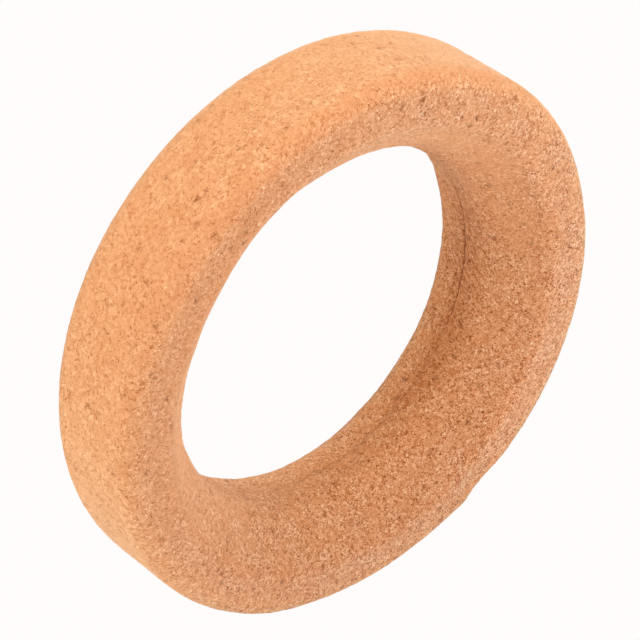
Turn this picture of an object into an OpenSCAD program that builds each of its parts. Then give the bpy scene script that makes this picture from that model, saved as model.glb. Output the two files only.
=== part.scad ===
// Cork ring for round-bottomed flasks.
// One solid ring, pressed from cork granules and turned to shape. It rests on
// z = 0 with the seat for the flask facing +Z, and its axis is the Z axis.
// Lengths are in millimetres and angles in degrees.

/* [Ring] */
// Outside diameter
outer_d = 140; // [132:1:200]
// Height from the face it rests on to the rim
height = 30; // [28:0.5:36]
// Radius of the rim's outer edge
rim_edge_r = 4.5; // [0.5:0.1:6]
// Radius of the base's outer edge, softer than the rim's
base_edge_r = 7.4; // [0.5:0.1:12]

/* [Flask seat] */
// Diameter of the throat, the narrowest part of the hole
throat_d = 91.6; // [86:0.2:94]
// Diameter where the line of the seat's cone meets the rim
seat_d = 115; // [110:0.2:118]
// Angle between the seat's cone and the ring's axis
seat_angle = 49; // [46:1:58]
// Height where the throat starts to curve open into the seat
throat_top = 12.8; // [12:0.1:14]
// Radius of the lip between the seat and the rim
lip_r = 5; // [0.5:0.1:7]

/* [Lower bore] */
// Diameter of the lower bore, cut from below a little wider than the throat
lower_d = 92.8; // [92:0.2:98]
// Height of the small step where the lower bore meets the throat
step_z = 10.8; // [8:0.1:11.8]
// Radius of the lower bore's bottom edge
base_bore_r = 5; // [0.5:0.1:7]

/* [Hidden] */
$fn = 96;

outer_r = outer_d / 2;
throat_r = throat_d / 2;
lower_r = lower_d / 2;
seat_r = seat_d / 2;

// Height where the seat's cone would meet the throat if nothing were rounded.
seat_foot_z = height - (seat_r - throat_r) / tan(seat_angle);

// Radius that blends the throat into the seat. It starts at throat_top.
seat_blend_r = (seat_foot_z - throat_top) / tan(seat_angle / 2);

// Corners of the ring's section, anticlockwise: distance from the axis,
// height, and the radius that the corner is rounded to.
corners = [
    [lower_r, 0, base_bore_r],
    [outer_r, 0, base_edge_r],
    [outer_r, height, rim_edge_r],
    [seat_r, height, lip_r],
    [throat_r, seat_foot_z, seat_blend_r],
    [throat_r, step_z, 0],
    [lower_r, step_z, 0]
];

// A hair that an arc is drawn over size, so that it crosses the sides it
// touches and leaves no sliver where they meet.
hair = 0.0003;

// A corner without its radius. It counts on past either end of the list.
function corner(i) = let (c = corners[(i + len(corners)) % len(corners)]) [c[0], c[1]];
function unit(v) = v / norm(v);

// What rounding takes off a convex corner: a kite on the arc's centre that
// reaches past the corner, less the disc of the arc.
module off_corner(i, past = 1) {
    r = corners[i][2];
    u = unit(corner(i - 1) - corner(i));
    v = unit(corner(i + 1) - corner(i));
    half = acos(u * v) / 2;
    centre = corner(i) + unit(u + v) * r / sin(half);
    foot_u = corner(i) + u * r / tan(half);
    foot_v = corner(i) + v * r / tan(half);
    difference() {
        polygon([
            centre,
            foot_u + unit(foot_u - centre) * past,
            corner(i) + unit(corner(i) - centre) * 2 * past,
            foot_v + unit(foot_v - centre) * past
        ]);
        translate(centre) circle(r + hair);
    }
}

// The section, to the right of the axis, with its edges rounded.
module section() {
    difference() {
        polygon([for (i = [0 : len(corners) - 1]) corner(i)]);
        for (i = [0 : len(corners) - 1])
            if (corners[i][2] > 0) off_corner(i);
    }
}

module cork_ring() {
    color([0.85, 0.62, 0.43])
        rotate_extrude($fn = 240) section();
}

cork_ring();
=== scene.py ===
"""Cork ring for round-bottomed flasks: the turned ring with its pressed-cork
surface, a pale floor, soft studio light and the camera. Lengths in millimetres
are turned into metres where the mesh is made."""

import math

import bpy
import numpy as np
from mathutils import Matrix, Vector


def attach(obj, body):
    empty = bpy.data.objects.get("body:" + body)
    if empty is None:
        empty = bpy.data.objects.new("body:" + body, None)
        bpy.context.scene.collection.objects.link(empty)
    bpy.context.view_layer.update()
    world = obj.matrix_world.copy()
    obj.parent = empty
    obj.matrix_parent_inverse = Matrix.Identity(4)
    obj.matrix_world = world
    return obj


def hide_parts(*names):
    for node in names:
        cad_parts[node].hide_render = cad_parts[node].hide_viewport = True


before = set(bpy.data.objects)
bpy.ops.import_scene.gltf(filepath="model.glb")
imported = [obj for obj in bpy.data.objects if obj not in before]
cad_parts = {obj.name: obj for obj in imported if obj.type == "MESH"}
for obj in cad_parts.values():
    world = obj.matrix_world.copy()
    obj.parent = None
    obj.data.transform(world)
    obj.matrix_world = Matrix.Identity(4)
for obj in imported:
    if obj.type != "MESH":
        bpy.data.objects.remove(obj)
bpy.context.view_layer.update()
scene = bpy.context.scene
MM = 0.001

# ---------------------------------------------------------------- the section
# The same section as part.scad: distance from the axis, height, corner radius.
OUTER_R, HEIGHT = 70.0, 30.0
THROAT_R, LOWER_R, SEAT_R = 45.8, 46.4, 57.5
SEAT_ANGLE, THROAT_TOP, STEP_Z = math.radians(49), 12.8, 10.8
FOOT_Z = HEIGHT - (SEAT_R - THROAT_R) / math.tan(SEAT_ANGLE)
CORNERS = [
    (LOWER_R, 0.0, 5.0),
    (OUTER_R, 0.0, 7.4),
    (OUTER_R, HEIGHT, 4.5),
    (SEAT_R, HEIGHT, 5.0),
    (THROAT_R, FOOT_Z, (FOOT_Z - THROAT_TOP) / math.tan(SEAT_ANGLE / 2)),
    (THROAT_R, STEP_Z, 0.0),
    (LOWER_R, STEP_Z, 0.0),
]


def section(cell):
    """Points and outward normals down the section, about one cell apart, anticlockwise and closed."""
    n = len(CORNERS)
    arcs = []
    for i, (x, z, r) in enumerate(CORNERS):
        b = np.array([x, z])
        u = np.array(CORNERS[i - 1][:2]) - b
        v = np.array(CORNERS[(i + 1) % n][:2]) - b
        u, v = u / np.linalg.norm(u), v / np.linalg.norm(v)
        if r <= 0:
            arcs.append((b, b, None, 0.0))
            continue
        half = math.acos(float(u @ v)) / 2
        c = b + (u + v) / np.linalg.norm(u + v) * r / math.sin(half)
        arcs.append((b + u * r / math.tan(half), b + v * r / math.tan(half), c, r))
    pts, nrm = [], []
    for i, (a, b, c, r) in enumerate(arcs):
        if c is not None:
            t0, t1 = math.atan2(*(a - c)[::-1]), math.atan2(*(b - c)[::-1])
            d = (t1 - t0 + math.pi) % (2 * math.pi) - math.pi
            k = max(2, round(abs(d) * r / cell))
            for t in t0 + d * np.arange(k) / k:
                pts.append(c + r * np.array([math.cos(t), math.sin(t)]))
                nrm.append(np.array([math.cos(t), math.sin(t)]))
        e = arcs[(i + 1) % n][0]
        length = np.linalg.norm(e - b)
        k = max(1, round(length / cell))
        side = (e - b) / length
        out = np.array([side[1], -side[0]])
        for j in range(k):
            pts.append(b + (e - b) * j / k)
            nrm.append(out)
    return np.array(pts), np.array(nrm)


# Colour factors down the section, darker and redder in the throat and the lower bore: millimetres down the section,
# red, green, blue.
TONES = [
    (1, 1.017, 0.938, 0.798),
    (8, 0.921, 0.862, 0.816),
    (22, 1.003, 0.951, 0.827),
    (34, 0.970, 0.940, 0.827),
    (46, 0.962, 0.917, 0.799),
    (51, 0.952, 0.905, 0.806),
    (55, 1.019, 0.951, 0.888),
    (59, 0.948, 0.860, 0.810),
    (63, 0.979, 0.887, 0.821),
    (67, 0.934, 0.840, 0.757),
    (73, 0.968, 0.891, 0.815),
    (79, 0.950, 0.861, 0.743),
    (84, 0.879, 0.758, 0.600),
    (88, 0.929, 0.776, 0.585),
    (92, 0.968, 0.885, 0.749),
]


def zones(p, q):
    """How much each point belongs to the outer wall, softened down the section, and its tone."""
    rise = np.degrees(np.arctan2(q[:, 1], q[:, 0]))
    wall = ((p[:, 0] > 58.6) & (rise < 50)).astype(float)
    step = np.linalg.norm(np.roll(p, -1, 0) - p, axis=1)
    arc = np.concatenate([[0], np.cumsum(step)])
    total, arc = arc[-1], arc[:-1]
    gap = (arc[:, None] - arc[None, :] + total / 2) % total - total / 2
    w = np.exp(-0.5 * (gap / 1.1) ** 2) * step[None, :]
    w /= w.sum(1, keepdims=True)
    tone = np.stack([np.interp(arc, [t[0] for t in TONES], [t[k] for t in TONES], period=total) for k in (1, 2, 3)], -1)
    return w @ wall, tone


def ring_mesh(name, around, cell):
    """A closed ring of quads with its undisturbed place and outward direction kept as attributes."""
    p, q = section(cell)
    m = len(p)
    a = np.arange(around) * 2 * math.pi / around
    ca, sa = np.cos(a)[:, None], np.sin(a)[:, None]
    co = np.stack([ca * p[:, 0], sa * p[:, 0], np.broadcast_to(p[:, 1], (around, m))], -1)
    no = np.stack([ca * q[:, 0], sa * q[:, 0], np.broadcast_to(q[:, 1], (around, m))], -1)
    i = np.arange(around)[:, None]
    j = np.arange(m)[None, :]
    i2, j2 = (i + 1) % around, (j + 1) % m
    quads = np.stack([i * m + j, i2 * m + j, i2 * m + j2, i * m + j2], -1).reshape(-1, 4)
    mesh = bpy.data.meshes.new(name)
    mesh.vertices.add(around * m)
    mesh.vertices.foreach_set("co", (co.reshape(-1) * MM).astype(np.float32))
    mesh.loops.add(quads.size)
    mesh.loops.foreach_set("vertex_index", quads.reshape(-1).astype(np.int32))
    mesh.polygons.add(len(quads))
    mesh.polygons.foreach_set("loop_start", (np.arange(len(quads)) * 4).astype(np.int32))
    wall, tone = zones(p, q)
    for key, values in (("base", co), ("outward", no), ("cut", np.broadcast_to(tone, (around, m, 3)))):
        att = mesh.attributes.new(key, "FLOAT_VECTOR", "POINT")
        att.data.foreach_set("vector", values.reshape(-1).astype(np.float32))
    att = mesh.attributes.new("wall", "FLOAT", "POINT")
    att.data.foreach_set("value", np.broadcast_to(wall, (around, m)).reshape(-1).astype(np.float32))
    mesh.update(calc_edges=True)
    mesh.validate()
    mesh.shade_smooth()
    return mesh


# ------------------------------------------------------------- the cork itself
def levels(delta):
    """The base colour as it is when its sRGB value goes up or down by delta levels of 255."""
    out = []
    for k, (shown, albedo) in enumerate(zip(SHOWN, BASE)):
        gain = np.interp(delta, [g[0] for g in GAINS], [g[k + 1] for g in GAINS])
        v = np.clip(np.array([shown, shown + gain * delta]) / 255, 0, 1)
        lin = np.where(v <= 0.04045, v / 12.92, ((v + 0.055) / 1.055) ** 2.4)
        out.append(min(0.97, float(albedo * lin[1] / lin[0])))
    return (*out, 1.0)


BASE = (0.650, 0.289, 0.131)
SHOWN = (222, 155, 108)
GAINS = [(-60, 1.13, 1.35, 1.34), (-30, 1.00, 1.34, 1.48), (-12, 0.93, 1.32, 1.54), (0, 0.90, 1.31, 1.56)]


class Nodes:
    """Short calls that add a node, set its sockets and give its outputs."""

    def __init__(self, tree):
        self.tree = tree

    def add(self, kind, inputs=None, **props):
        node = self.tree.nodes.new(kind)
        for key, value in props.items():
            setattr(node, key, value)
        for key, value in (inputs or {}).items():
            if isinstance(value, bpy.types.NodeSocket):
                self.tree.links.new(value, node.inputs[key])
            else:
                node.inputs[key].default_value = value
        return node

    def math(self, op, a, b=0.0, c=0.0, clamp=False):
        return self.add("ShaderNodeMath", {0: a, 1: b, 2: c}, operation=op, use_clamp=clamp).outputs[0]

    def vec(self, op, a, b=(0, 0, 0)):
        key = "Value" if op in ("LENGTH", "DISTANCE", "DOT_PRODUCT") else "Vector"
        return self.add("ShaderNodeVectorMath", {0: a, 1: b}, operation=op).outputs[key]

    def scaled(self, a, k):
        return self.add("ShaderNodeVectorMath", {0: a, "Scale": k}, operation="SCALE").outputs["Vector"]

    def noise(self, at, size, detail=2.0, rough=0.5, out="Fac"):
        return self.add(
            "ShaderNodeTexNoise", {"Vector": at, "Scale": 1 / size, "Detail": detail, "Roughness": rough}
        ).outputs[out]

    def cells(self, at, size, feature="F1", out="Color", randomness=1.0):
        return self.add(
            "ShaderNodeTexVoronoi", {"Vector": at, "Scale": 1 / size, "Randomness": randomness}, feature=feature
        ).outputs[out]

    def remap(self, x, lo, hi, to_lo=0.0, to_hi=1.0, kind="SMOOTHSTEP"):
        return self.add(
            "ShaderNodeMapRange",
            {"Value": x, "From Min": lo, "From Max": hi, "To Min": to_lo, "To Max": to_hi},
            interpolation_type=kind,
        ).outputs["Result"]

    def channel(self, color, k):
        kind = "ShaderNodeSeparateColor" if self.tree.type == "SHADER" else "FunctionNodeSeparateColor"
        return self.add(kind, {"Color": color}).outputs[k]

    def total(self, *terms):
        out = terms[0]
        for t in terms[1:]:
            out = self.math("ADD", out, t)
        return out

    def centred(self, x, gain):
        return self.math("MULTIPLY", self.math("SUBTRACT", x, 0.5), gain)

    def bent(self, place):
        """Granules are squeezed out of shape, so every coordinate is bent a little first."""
        wander = self.vec("SUBTRACT", self.noise(place, 1.1, 2.0, 0.6, out="Color"), (0.5, 0.5, 0.5))
        return self.vec("ADD", place, self.scaled(wander, 1.0))

    def spots(self, at, size, reach, low=0.0, high=1.0, shift=0.0):
        """Blots in the middle of the cells whose own number lies between low and high: 1 inside, 0 outside."""
        spot_at = self.vec("ADD", at, (shift, -0.7 * shift, 0.4 * shift))
        v = self.add("ShaderNodeTexVoronoi", {"Vector": spot_at, "Scale": 1 / size, "Randomness": 1.0}, feature="F1")
        number = self.channel(v.outputs["Color"], 0)
        body = self.remap(v.outputs["Distance"], reach * 0.45, reach, 1.0, 0.0)
        if low <= 0.0 and high >= 1.0:
            return body, number
        inside = self.math("MULTIPLY", self.math("GREATER_THAN", number, low), self.math("LESS_THAN", number, high))
        return self.math("MULTIPLY", body, inside), number

    def lobe(self, place, azimuth, full, none):
        """1 within the first angle of a compass direction, in degrees, and 0 beyond the second."""
        flat = self.vec("NORMALIZE", self.vec("MULTIPLY", place, (1, 1, 0)))
        a, full, none = (math.radians(v) for v in (azimuth, full, none))
        along = self.vec("DOT_PRODUCT", flat, (math.cos(a), math.sin(a), 0.0))
        return self.remap(along, math.cos(none), math.cos(full), 0.0, 1.0)

    def near(self, place, r, z, reach):
        """1 on the circle of radius r at height z, 0 from the given reach on."""
        out = self.vec("LENGTH", self.vec("MULTIPLY", place, (1, 1, 0)))
        up = self.add("ShaderNodeSeparateXYZ", {"Vector": place}).outputs["Z"]
        spot = self.add("ShaderNodeCombineXYZ", {"X": out, "Z": up}).outputs["Vector"]
        return self.remap(self.vec("DISTANCE", spot, (r, 0.0, z)), 0.0, reach, 1.0, 0.0)

    def bark(self, at):
        """Grains of dark bark, each in a small pit."""
        ragged = self.remap(self.noise(at, 0.5, 1.0), 0.42, 0.54, 0.0, 1.0)
        return self.math("MULTIPLY", self.spots(at, 2.3, 0.46, 0.0, 0.08, shift=57.1)[0], ragged)

    def crease(self, place):
        """The wandering line where the throat meets the lower bore, 1 on it, and how strong it is there."""
        flat = self.vec("MULTIPLY", place, (1, 1, 0))
        z = self.add("ShaderNodeSeparateXYZ", {"Vector": place}).outputs["Z"]
        off = self.math("SUBTRACT", z, self.math("MULTIPLY_ADD", self.noise(flat, 3.0, 4.0, 0.7), 1.1, STEP_Z - 0.46))
        off = self.math("ABSOLUTE", off)
        inner = self.math("LESS_THAN", self.vec("LENGTH", flat), 50.0)
        middle = self.math("MULTIPLY", self.lobe(place, 137, 10, 28), 0.85)
        tails = self.math("MULTIPLY", self.lobe(place, 138, 22, 50), 0.35)
        strong = self.math("MULTIPLY", self.total(middle, tails, 0.06), inner)
        return off, strong


# A turned block is never quite round: compass direction, how far the place reaches on each side in degrees (full,
# none), its circle (radius, height), its reach across the section, and how deep it lies under the true surface.
WORN = [
    (50.7, 4.4, 30, 69.0, 27.0, 16, 0.68),
    (82.4, 2.2, 6.6, 69.0, 27.5, 14, 0.34),
    (80.8, 0, 5.3, 69.4, 27.7, 8, 0.41),
    (120, 5, 31, 69.4, 27.8, 4.1, -0.50),
    (52, 6, 22, 48.0, 1.5, 8, 0.26),
    (98, 6, 16, 48.4, 1.2, 6, -0.16),
    (134, 10, 30, 46.9, 2.9, 4.6, -0.50),
    (170, 3, 12, 46.8, 3.2, 6, 0.26),
    (183, 6, 16, 46.0, 13.5, 6.5, -0.32),
    (223, 6, 17, 49.5, 22.5, 7, -0.22),
    (259, 6, 20, 51.0, 24.3, 12, 0.46),
    (282, 4, 20, 53.0, 26.5, 12, -0.48),
    (302, 4, 14, 51.5, 24.8, 8, -0.22),
    (345, 6, 18, 46.3, 16.6, 8, -0.42),
    (10, 5, 16, 46.7, 3.4, 5, -0.26),
]


def relief(mesh):
    """The mesh sunk by the waviness of the pressed block, its granules, the bark pits and the crease, and slightly out of round."""
    tree = bpy.data.node_groups.new("cork_relief", "GeometryNodeTree")
    tree.interface.new_socket("Geometry", in_out="INPUT", socket_type="NodeSocketGeometry")
    tree.interface.new_socket("Geometry", in_out="OUTPUT", socket_type="NodeSocketGeometry")
    n = Nodes(tree)
    place = n.add("GeometryNodeInputNamedAttribute", {"Name": "base"}, data_type="FLOAT_VECTOR").outputs["Attribute"]
    outward = n.add("GeometryNodeInputNamedAttribute", {"Name": "outward"}, data_type="FLOAT_VECTOR").outputs["Attribute"]
    at = n.bent(place)
    off, strong = n.crease(place)
    groove = n.math("MULTIPLY", n.remap(off, 0.1, 0.8, 0.30, 0.0), strong)
    depth = n.total(
        n.remap(n.noise(place, 16.0, 2.0), 0.3, 0.7, 0.0, 0.05),
        n.remap(n.noise(at, 2.4, 2.0), 0.40, 0.7, 0.0, 0.06),
        n.remap(n.cells(at, 1.9, "F1", "Distance"), 0.15, 0.8, 0.0, 0.07),
        n.math("MULTIPLY", n.bark(at), 0.30),
        groove,
    )
    for azimuth, full, none, r, z, reach, sink in WORN:
        patch = n.math("MULTIPLY", n.lobe(place, azimuth, full, none), n.near(place, r, z, reach))
        depth = n.math("MULTIPLY_ADD", patch, sink, depth)
    move = n.add("ShaderNodeVectorMath", {0: outward, "Scale": n.math("MULTIPLY", depth, -MM)}, operation="SCALE")
    put = n.add(
        "GeometryNodeSetPosition",
        {"Geometry": n.add("NodeGroupInput").outputs[0], "Offset": move.outputs["Vector"]},
    )
    n.add("NodeGroupOutput", {"Geometry": put.outputs["Geometry"]})
    holder = bpy.data.objects.new("relief_holder", mesh)
    scene.collection.objects.link(holder)
    holder.modifiers.new("relief", "NODES").node_group = tree
    bpy.context.view_layer.update()
    made = bpy.data.meshes.new_from_object(holder.evaluated_get(bpy.context.evaluated_depsgraph_get()))
    bpy.data.objects.remove(holder)
    bpy.data.meshes.remove(mesh)
    bpy.data.node_groups.remove(tree)
    # nothing stands out beyond the faces the block was turned to
    co = np.empty(len(made.vertices) * 3, np.float32)
    made.vertices.foreach_get("co", co)
    co = co.reshape(-1, 3)
    co[:, 2] = np.clip(co[:, 2], 0.0, HEIGHT * MM)
    co[:, :2] *= np.minimum(1.0, OUTER_R * MM / np.linalg.norm(co[:, :2], axis=1))[:, None]
    made.vertices.foreach_set("co", co.reshape(-1))
    made.update()
    return made


# Painted light and shade: the rim, its outer edge and the bore made lighter or darker by compass direction, standing in
# for how the lamps and the sheen fall there. Compass direction, full and no reach in degrees, the radii between which
# it comes in, and its tint.
PAINTED_LIGHT_AND_SHADE = [
    (45, 25, 72, 55.0, 58.5, (0.975, 0.885, 0.800)),
    (58, 22, 48, 62.5, 67.0, (0.940, 0.870, 0.790)),
    (128, 25, 60, 55.0, 58.5, (1.045, 1.010, 1.000)),
    (174, 10, 34, 50.0, 47.5, (1.070, 1.010, 0.970)),
    (212, 8, 30, 58.0, 55.0, (1.045, 1.080, 1.110)),
]
CORNER_TINTS = [  # painted light on the outer upper corner, and the lip darker, both the same way: compass, full, none, r, z, reach, tint
    (240, 36, 70, 67.1, 29.7, 2.2, (1.065, 1.060, 1.045)),
    (304, 18, 42, 56.3, 28.9, 2.8, (0.900, 0.855, 0.815)),
]
BOLDER = [  # where the grain shows more, or less, than around it: compass, full, none, r, z, reach, amount
    (16, 20, 44, 58.0, 28.0, 16, 0.26),
    (58, 14, 34, 60.5, 29.8, 10, 0.46),
    (108, 22, 50, 61.5, 30.0, 7.5, 0.26),
    (163, 10, 28, 51.0, 24.5, 8.5, -0.42),
    (205, 26, 50, 57.0, 29.5, 7, 0.32),
    (231, 16, 38, 70.5, 22.0, 15, 0.34),
    (236, 34, 64, 67.8, 29.4, 4.2, -0.30),
    (232, 16, 34, 56.8, 29.3, 4.5, 0.32),
    (197, 12, 30, 46.6, 17.0, 6.0, 0.55),
]


def cork_material():
    mat = bpy.data.materials.new("pressed_cork")
    mat.use_nodes = True
    tree = mat.node_tree
    bsdf = tree.nodes["Principled BSDF"]
    n = Nodes(tree)
    place = n.add("ShaderNodeAttribute", attribute_name="base").outputs["Vector"]
    wall = n.add("ShaderNodeAttribute", attribute_name="wall").outputs["Fac"]
    fine_side = n.remap(n.vec("DOT_PRODUCT", place, (-0.00125, -0.01423, 0.0)), -0.35, 0.15, 0.0, 1.0)
    wall = n.math("MULTIPLY", wall, fine_side)
    cut = n.add("ShaderNodeAttribute", attribute_name="cut").outputs["Vector"]
    at = n.bent(place)

    # bolder on one side of the ring than on the other
    smoother = n.remap(n.vec("DISTANCE", place, (-50.0, -8.0, 22.0)), 5.0, 20.0, 0.79, 1.0)
    out = n.vec("LENGTH", n.vec("MULTIPLY", place, (1, 1, 0)))
    rim = n.remap(out, 56.0, 62.0, 0.91, 1.11)
    coarse_side = n.math("SUBTRACT", 1.0, fine_side)
    up = n.add("ShaderNodeSeparateXYZ", {"Vector": place}).outputs["Z"]
    rough_edge = n.math("MULTIPLY", n.remap(out, 64.5, 68.5, 0.0, 0.46), coarse_side)
    rough_edge = n.math("MULTIPLY", rough_edge, n.remap(up, 21.0, 27.5, -0.35, 1.0))
    rough_throat = n.math("MULTIPLY", n.remap(out, 48.0, 54.0, 0.24, 0.0), n.math("SUBTRACT", 1.0, n.lobe(place, 120, 25, 60)))
    grain = n.remap(fine_side, 0.0, 1.0, 1.03, 0.60)
    chips = n.remap(fine_side, 0.0, 1.0, 1.16, 0.76)
    chips = n.math("ADD", chips, n.math("MULTIPLY", n.remap(out, 54.0, 60.0, 0.0, 0.24), coarse_side))
    top = n.remap(n.vec("DOT_PRODUCT", place, (-0.0149, -0.0040, 0.0)), 0.80, 0.98, 0.0, 0.20)
    bold = n.math("ADD", n.vec("DOT_PRODUCT", place, (-0.0010, 0.0032, 0.0)), smoother)
    calm = n.math("MULTIPLY", n.lobe(place, 52, 14, 36), n.remap(out, 56.0, 60.0, -0.14, 0.0))
    bold = n.math("MULTIPLY", n.total(bold, rough_edge, rough_throat, top, calm), rim)
    bold_wall = n.math("ADD", n.vec("DOT_PRODUCT", place, (0.0042, 0.0022, 0.0)), 1.01)

    def by_zone(on_face, on_wall):
        return n.remap(wall, 0, 1, on_face, on_wall, "LINEAR")

    # the granules, each of its own tone
    v = n.add("ShaderNodeTexVoronoi", {"Vector": at, "Scale": 1 / 1.25, "Randomness": 1.0}, feature="F1")
    granule = n.channel(v.outputs["Color"], 0)
    # broken dark seams between granules, and finer light ones between crumbs
    patchy = n.noise(place, 0.9, 2.0, 0.5)
    seam = n.remap(n.cells(at, 0.95, "DISTANCE_TO_EDGE", "Distance"), 0.03, 0.13, 1.0, 0.0)
    seam = n.math("MULTIPLY", seam, n.remap(patchy, 0.50, 0.62, 0.0, 1.0))
    glint = n.remap(n.cells(at, 0.70, "DISTANCE_TO_EDGE", "Distance"), 0.03, 0.15, 1.0, 0.0)
    glint = n.math("MULTIPLY", glint, n.remap(patchy, 0.38, 0.50, 1.0, 0.0))
    # light and dark wandering lines where grains are cut through
    field = n.noise(at, 1.7, 1.0)
    squiggle = n.remap(n.math("ABSOLUTE", n.math("SUBTRACT", field, 0.52)), 0.0, 0.05, 1.0, 0.0)
    furrow = n.remap(n.math("ABSOLUTE", n.math("SUBTRACT", field, 0.40)), 0.0, 0.035, 1.0, 0.0)
    # crumbs: small light and dark grains
    crumb, crumb_no = n.spots(at, 0.40, 0.66, shift=5.3)
    crumb = n.math("MULTIPLY", crumb, n.math("SUBTRACT", crumb_no, 0.5))
    grit = n.noise(at, 0.20, 1.0)
    drift = n.noise(place, 7.0, 3.0, 0.6)
    pores, _ = n.spots(at, 1.0, 0.34, 0.0, 0.13, shift=31.7)
    fleck, _ = n.spots(at, 0.60, 0.38, 0.0, 0.19, shift=12.9)
    spark, _ = n.spots(at, 0.55, 0.44, 0.0, 0.12, shift=44.3)
    # thin dark streaks that lie round the wall
    streak, _ = n.spots(n.vec("MULTIPLY", at, (0.45, 0.45, 1.9)), 1.0, 0.30, 0.0, 0.12, shift=71.7)
    bark = n.bark(at)
    chalk, _ = n.spots(at, 1.1, 0.34, 0.0, 0.12, shift=83.9)
    # painted shade: a broken dark line along the crease where the throat meets the lower bore
    off, strong = n.crease(place)
    ragged = n.math("MULTIPLY_ADD", n.noise(at, 0.45, 1.0), 0.7, -0.35)
    crease_line_shade = n.math("MULTIPLY", n.remap(n.math("ADD", off, ragged), 0.16, 0.58, 1.0, 0.0), strong)
    whole = n.math("MULTIPLY_ADD", strong, 0.11, n.noise(place, 0.9, 2.0))
    crease_line_shade = n.math("MULTIPLY", crease_line_shade, n.remap(whole, 0.50, 0.61, 0.0, 1.0))
    # a looser row of pits above it
    row = n.math("MULTIPLY", n.near(place, 46.0, 14.4, 1.9), n.lobe(place, 117, 14, 32))
    row = n.math("MULTIPLY", row, n.spots(at, 0.9, 0.46, 0.0, 0.55, shift=23.3)[0])
    # painted shade: the throat made darker towards the crease on one side
    crease_area_shade = n.math("MULTIPLY", n.remap(off, 0.0, 7.0, 1.0, 0.0), n.lobe(place, 120, 26, 48))
    crease_area_shade = n.math("MULTIPLY", crease_area_shade, n.remap(n.noise(place, 3.0, 2.0), 0.3, 0.65, 0.2, 1.5))
    crease_area_shade = n.math("MULTIPLY", crease_area_shade, n.math("LESS_THAN", out, 52.0))
    # fine marks of the cutter that run slantwise up the throat
    lean = (0.469, 0.670, 0.576)
    along = n.vec("DOT_PRODUCT", place, lean)
    slant = n.add("ShaderNodeVectorMath", {0: lean, "Scale": n.math("MULTIPLY", along, 2.0)}, operation="SCALE")
    slant = n.vec("SUBTRACT", n.scaled(n.vec("ADD", place, n.scaled(at, 0.25)), 1.9), slant.outputs["Vector"])
    marks = n.math("MULTIPLY", n.lobe(place, 160, 26, 46), n.near(place, 46.5, 12.0, 13.0))
    marks = n.math("MULTIPLY", marks, n.centred(n.noise(slant, 1.0, 1.0), 125.0))
    # painted light: a lighter patch in the bore and throat at compass 176, where bounced light falls
    bore_painted_light = n.math("MULTIPLY", n.lobe(place, 176, 6, 22), n.near(place, 46.0, 9.0, 10.0))

    tone = n.total(
        n.centred(granule, by_zone(7.0, 10.0)),
        n.math("MULTIPLY", seam, by_zone(-30.0, -22.0)),
        n.math("MULTIPLY", glint, by_zone(20.0, 11.0)),
        n.math("MULTIPLY", squiggle, by_zone(9.0, 9.0)),
        n.math("MULTIPLY", furrow, by_zone(-14.0, -10.0)),
        n.math("MULTIPLY", crumb, by_zone(n.math("MULTIPLY", grain, 50.0), 12.0)),
        n.centred(grit, by_zone(n.math("MULTIPLY", grain, 118.0), 10.0)),
        n.math("MULTIPLY", fleck, by_zone(n.math("MULTIPLY", chips, -72.0), -34.0)),
        n.math("MULTIPLY", spark, by_zone(36.0, 13.0)),
        n.math("MULTIPLY", streak, by_zone(0.0, -44.0)),
        n.math("MULTIPLY", pores, by_zone(n.math("MULTIPLY", chips, -38.0), -30.0)),
        n.math("MULTIPLY", bark, by_zone(-26.0, -22.0)),
        n.math("MULTIPLY", chalk, by_zone(24.0, 14.0)),
        by_zone(3.6, 2.9),
    )
    bold = n.add("ShaderNodeMix", {0: wall, 2: bold, 3: bold_wall}, data_type="FLOAT").outputs[0]
    for azimuth, full, none, r, z, reach, amount in BOLDER:
        part = n.math("MULTIPLY", n.lobe(place, azimuth, full, none), n.near(place, r, z, reach))
        bold = n.math("MULTIPLY_ADD", part, amount, bold)
    rough_patch = n.remap(n.noise(place, 4.5, 2.0), 0.34, 0.66, 0.78, 1.28)
    tone = n.math("MULTIPLY", tone, n.math("MULTIPLY", bold, rough_patch))
    tone = n.total(tone, n.centred(drift, 12.0), marks, n.math("MULTIPLY", crease_line_shade, -80.0), n.math("MULTIPLY", row, -46.0), n.math("MULTIPLY", crease_area_shade, -7.0), n.math("MULTIPLY", bore_painted_light, 10.0))

    ramp = n.add("ShaderNodeValToRGB", {"Fac": n.math("MULTIPLY_ADD", tone, 1 / 120, 0.5)})
    stops = [(-60, 0.0), (-30, 0.25), (-12, 0.4), (0, 0.5), (15, 0.625), (30, 0.75), (60, 1.0)]
    cr = ramp.color_ramp
    while len(cr.elements) < len(stops):
        cr.elements.new(0.5)
    for e, (d, at_) in zip(cr.elements, stops):
        e.position, e.color = at_, levels(d)
    # painted light and shade laid onto the colour factors, by compass direction and radius
    for azimuth, full, none, start, end, tint in PAINTED_LIGHT_AND_SHADE:
        part = n.math("MULTIPLY", n.lobe(place, azimuth, full, none), n.remap(out, start, end, 0.0, 1.0))
        shade = n.add("ShaderNodeMix", {"Factor": part, 4: (1.0, 1.0, 1.0), 5: tint}, data_type="VECTOR")
        cut = n.vec("MULTIPLY", cut, shade.outputs[1])
    # painted light brightens the outer upper corner; the lip is made darker
    for azimuth, full, none, r, z, reach, tint in CORNER_TINTS:
        part = n.math("MULTIPLY", n.lobe(place, azimuth, full, none), n.near(place, r, z, reach))
        shade = n.add("ShaderNodeMix", {"Factor": part, 4: (1.0, 1.0, 1.0), 5: tint}, data_type="VECTOR")
        cut = n.vec("MULTIPLY", cut, shade.outputs[1])
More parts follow.
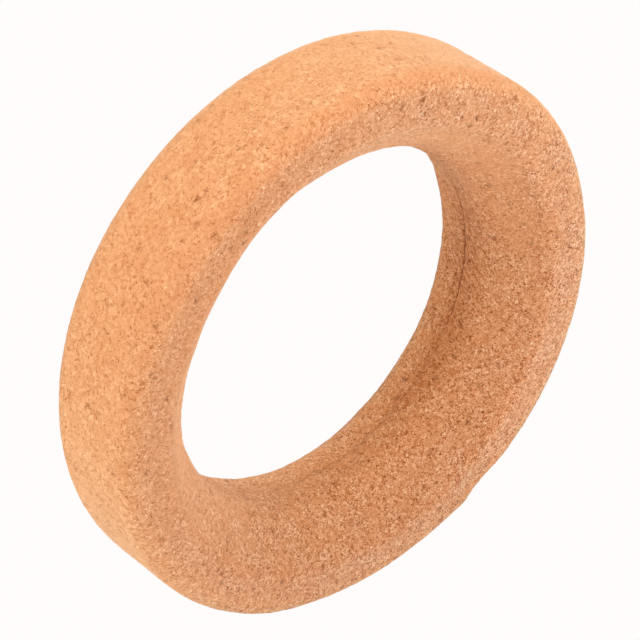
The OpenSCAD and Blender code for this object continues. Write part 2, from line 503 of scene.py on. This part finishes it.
    # bark is a greyer brown than the cork around it
    skin = n.add(
        "ShaderNodeMix",
        {"Factor": n.math("MULTIPLY", bark, n.remap(wall, 0.0, 1.0, 0.42, 0.30, "LINEAR")), 6: n.vec("MULTIPLY", ramp.outputs["Color"], cut)},
        data_type="RGBA",
    )
    skin.inputs[7].default_value = (0.20, 0.090, 0.045, 1)
    tree.links.new(skin.outputs[2], bsdf.inputs["Base Color"])

    rough = n.remap(tone, -40, 30, 0.95, 0.78, "LINEAR")
    tree.links.new(rough, bsdf.inputs["Roughness"])
    bsdf.inputs["Specular IOR Level"].default_value = 0.05
    bsdf.inputs["Sheen Weight"].default_value = 0.506
    bsdf.inputs["Sheen Roughness"].default_value = 0.5
    bsdf.inputs["Sheen Tint"].default_value = (1.0, 0.757, 0.493, 1)

    lift = n.math("MULTIPLY", tone, 0.004)
    bump = n.add("ShaderNodeBump", {"Height": lift, "Strength": 0.5, "Distance": 0.001})
    tree.links.new(bump.outputs["Normal"], bsdf.inputs["Normal"])
    return mat


mesh = relief(ring_mesh("cork_ring_surface", 620, 0.585))
mesh.name = "cork_ring_surface"
mesh.materials.append(cork_material())
ring = bpy.data.objects.new("cork_surface", mesh)
scene.collection.objects.link(ring)
print("ring triangles", sum(len(f.vertices) - 2 for f in mesh.polygons))

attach(ring, "root")
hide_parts("cork_ring")

# ------------------------------------------------------------------ the floor
# One even near-white, as on a light table: it takes no shadow and is open from below.
PALE = (1.0, 0.974, 0.965, 1)


def stage(obj, name):
    obj.name = name
    m = bpy.data.materials.new(name + "_white")
    m.use_nodes = True
    m.node_tree.nodes.clear()
    n = Nodes(m.node_tree)
    glow = n.add("ShaderNodeEmission", {"Color": PALE, "Strength": 1.0}).outputs[0]
    back = n.add("ShaderNodeNewGeometry").outputs["Backfacing"]
    mix = n.add("ShaderNodeMixShader", {0: back, 1: glow, 2: n.add("ShaderNodeBsdfTransparent").outputs[0]})
    n.add("ShaderNodeOutputMaterial", {"Surface": mix.outputs[0]})
    obj.data.materials.append(m)
    obj.visible_diffuse = obj.visible_glossy = obj.visible_transmission = obj.visible_shadow = False


bpy.ops.mesh.primitive_plane_add(size=6, location=(0, 0, 0))
stage(bpy.context.object, "floor")
bpy.ops.mesh.primitive_ico_sphere_add(subdivisions=4, radius=4)
dome = bpy.context.object
dome.data.flip_normals()
dome.data.shade_smooth()
stage(dome, "backdrop")

# ----------------------------------------------------------------- the camera
THETA, PHI, CX, CY, S, K = 0.90084, -0.60265, 8.99, 5.30015, 302.85, 0.09573
R = OUTER_R * MM
n = Vector((math.sin(THETA) * math.cos(PHI), math.sin(THETA) * math.sin(PHI), math.cos(THETA)))
u = -Vector((0, 0, 1)).cross(n).normalized()
w = n.cross(u)
to_cam = Matrix((u, w, n)).transposed()
to_world = to_cam.transposed()
c = Vector((CX / S, -CY / S, 0))
pos = to_world @ ((Vector((0, 0, 1 / K)) - c) * R) + Vector((0, 0, HEIGHT * MM / 2))
cam_data = bpy.data.cameras.new("camera")
cam_data.sensor_width = 36
cam_data.lens = 36 * (S / K) / 640
cam_data.clip_start, cam_data.clip_end = 0.05, 10
cam = bpy.data.objects.new("camera", cam_data)
cam.matrix_world = Matrix.Translation(pos) @ to_world.to_4x4()
scene.collection.objects.link(cam)
scene.camera = cam

# ----------------------------------------------------------------- the lights
# A light tent: an even fill and soft round lamps all about the ring, each (direction), distance in metres, strength.
LAMPS = [
    ((-0.287, -0.472, 0.833), 0.75, 0.111),
    ((-0.719, -0.078, 0.690), 0.75, 0.276),
    ((0.141, 0.904, 0.405), 0.75, 0.497),
    ((0.847, 0.462, 0.262), 0.75, 0.518),
    ((0.908, -0.402, 0.119), 0.75, 0.272),
    ((-0.945, -0.318, 0.071), 0.75, 0.378),
    ((0.235, -0.972, -0.024), 0.75, 0.600),
    ((-0.951, 0.024, -0.310), 0.75, 0.152),
    ((-0.524, 0.721, -0.452), 0.75, 0.461),
    ((0.336, -0.689, -0.643), 0.75, 0.238),
    ((-0.715, -0.075, 0.695), 0.33, 0.123),
    ((-0.837, -0.483, 0.259), 0.33, 0.067),
    ((-0.908, 0.243, 0.342), 0.33, 0.030),
    ((0.433, -0.750, 0.500), 0.33, 0.033),
    ((-0.296, -0.171, 0.940), 0.33, 0.111),
    ((-0.243, -0.908, 0.342), 0.33, 0.055),
]
for i, (way, away, strength) in enumerate(LAMPS):
    data = bpy.data.lights.new(f"lamp_{i}", "AREA")
    data.shape, data.size = "DISK", 0.73 * away
    data.energy = strength * (math.pi * away) ** 2
    lamp = bpy.data.objects.new(f"lamp_{i}", data)
    lamp.location = Vector(way).normalized() * away + Vector((0, 0, HEIGHT * MM / 2))
    lamp.rotation_mode = "QUATERNION"
    lamp.rotation_quaternion = Vector(way).to_track_quat("Z", "Y")
    lamp.visible_camera = False
    scene.collection.objects.link(lamp)
world = bpy.data.worlds.new("studio")
world.use_nodes = True
world.node_tree.nodes["Background"].inputs["Color"].default_value = (1, 1, 1, 1)
world.node_tree.nodes["Background"].inputs["Strength"].default_value = 0.318
scene.world = world
scene.view_settings.view_transform = "Standard"
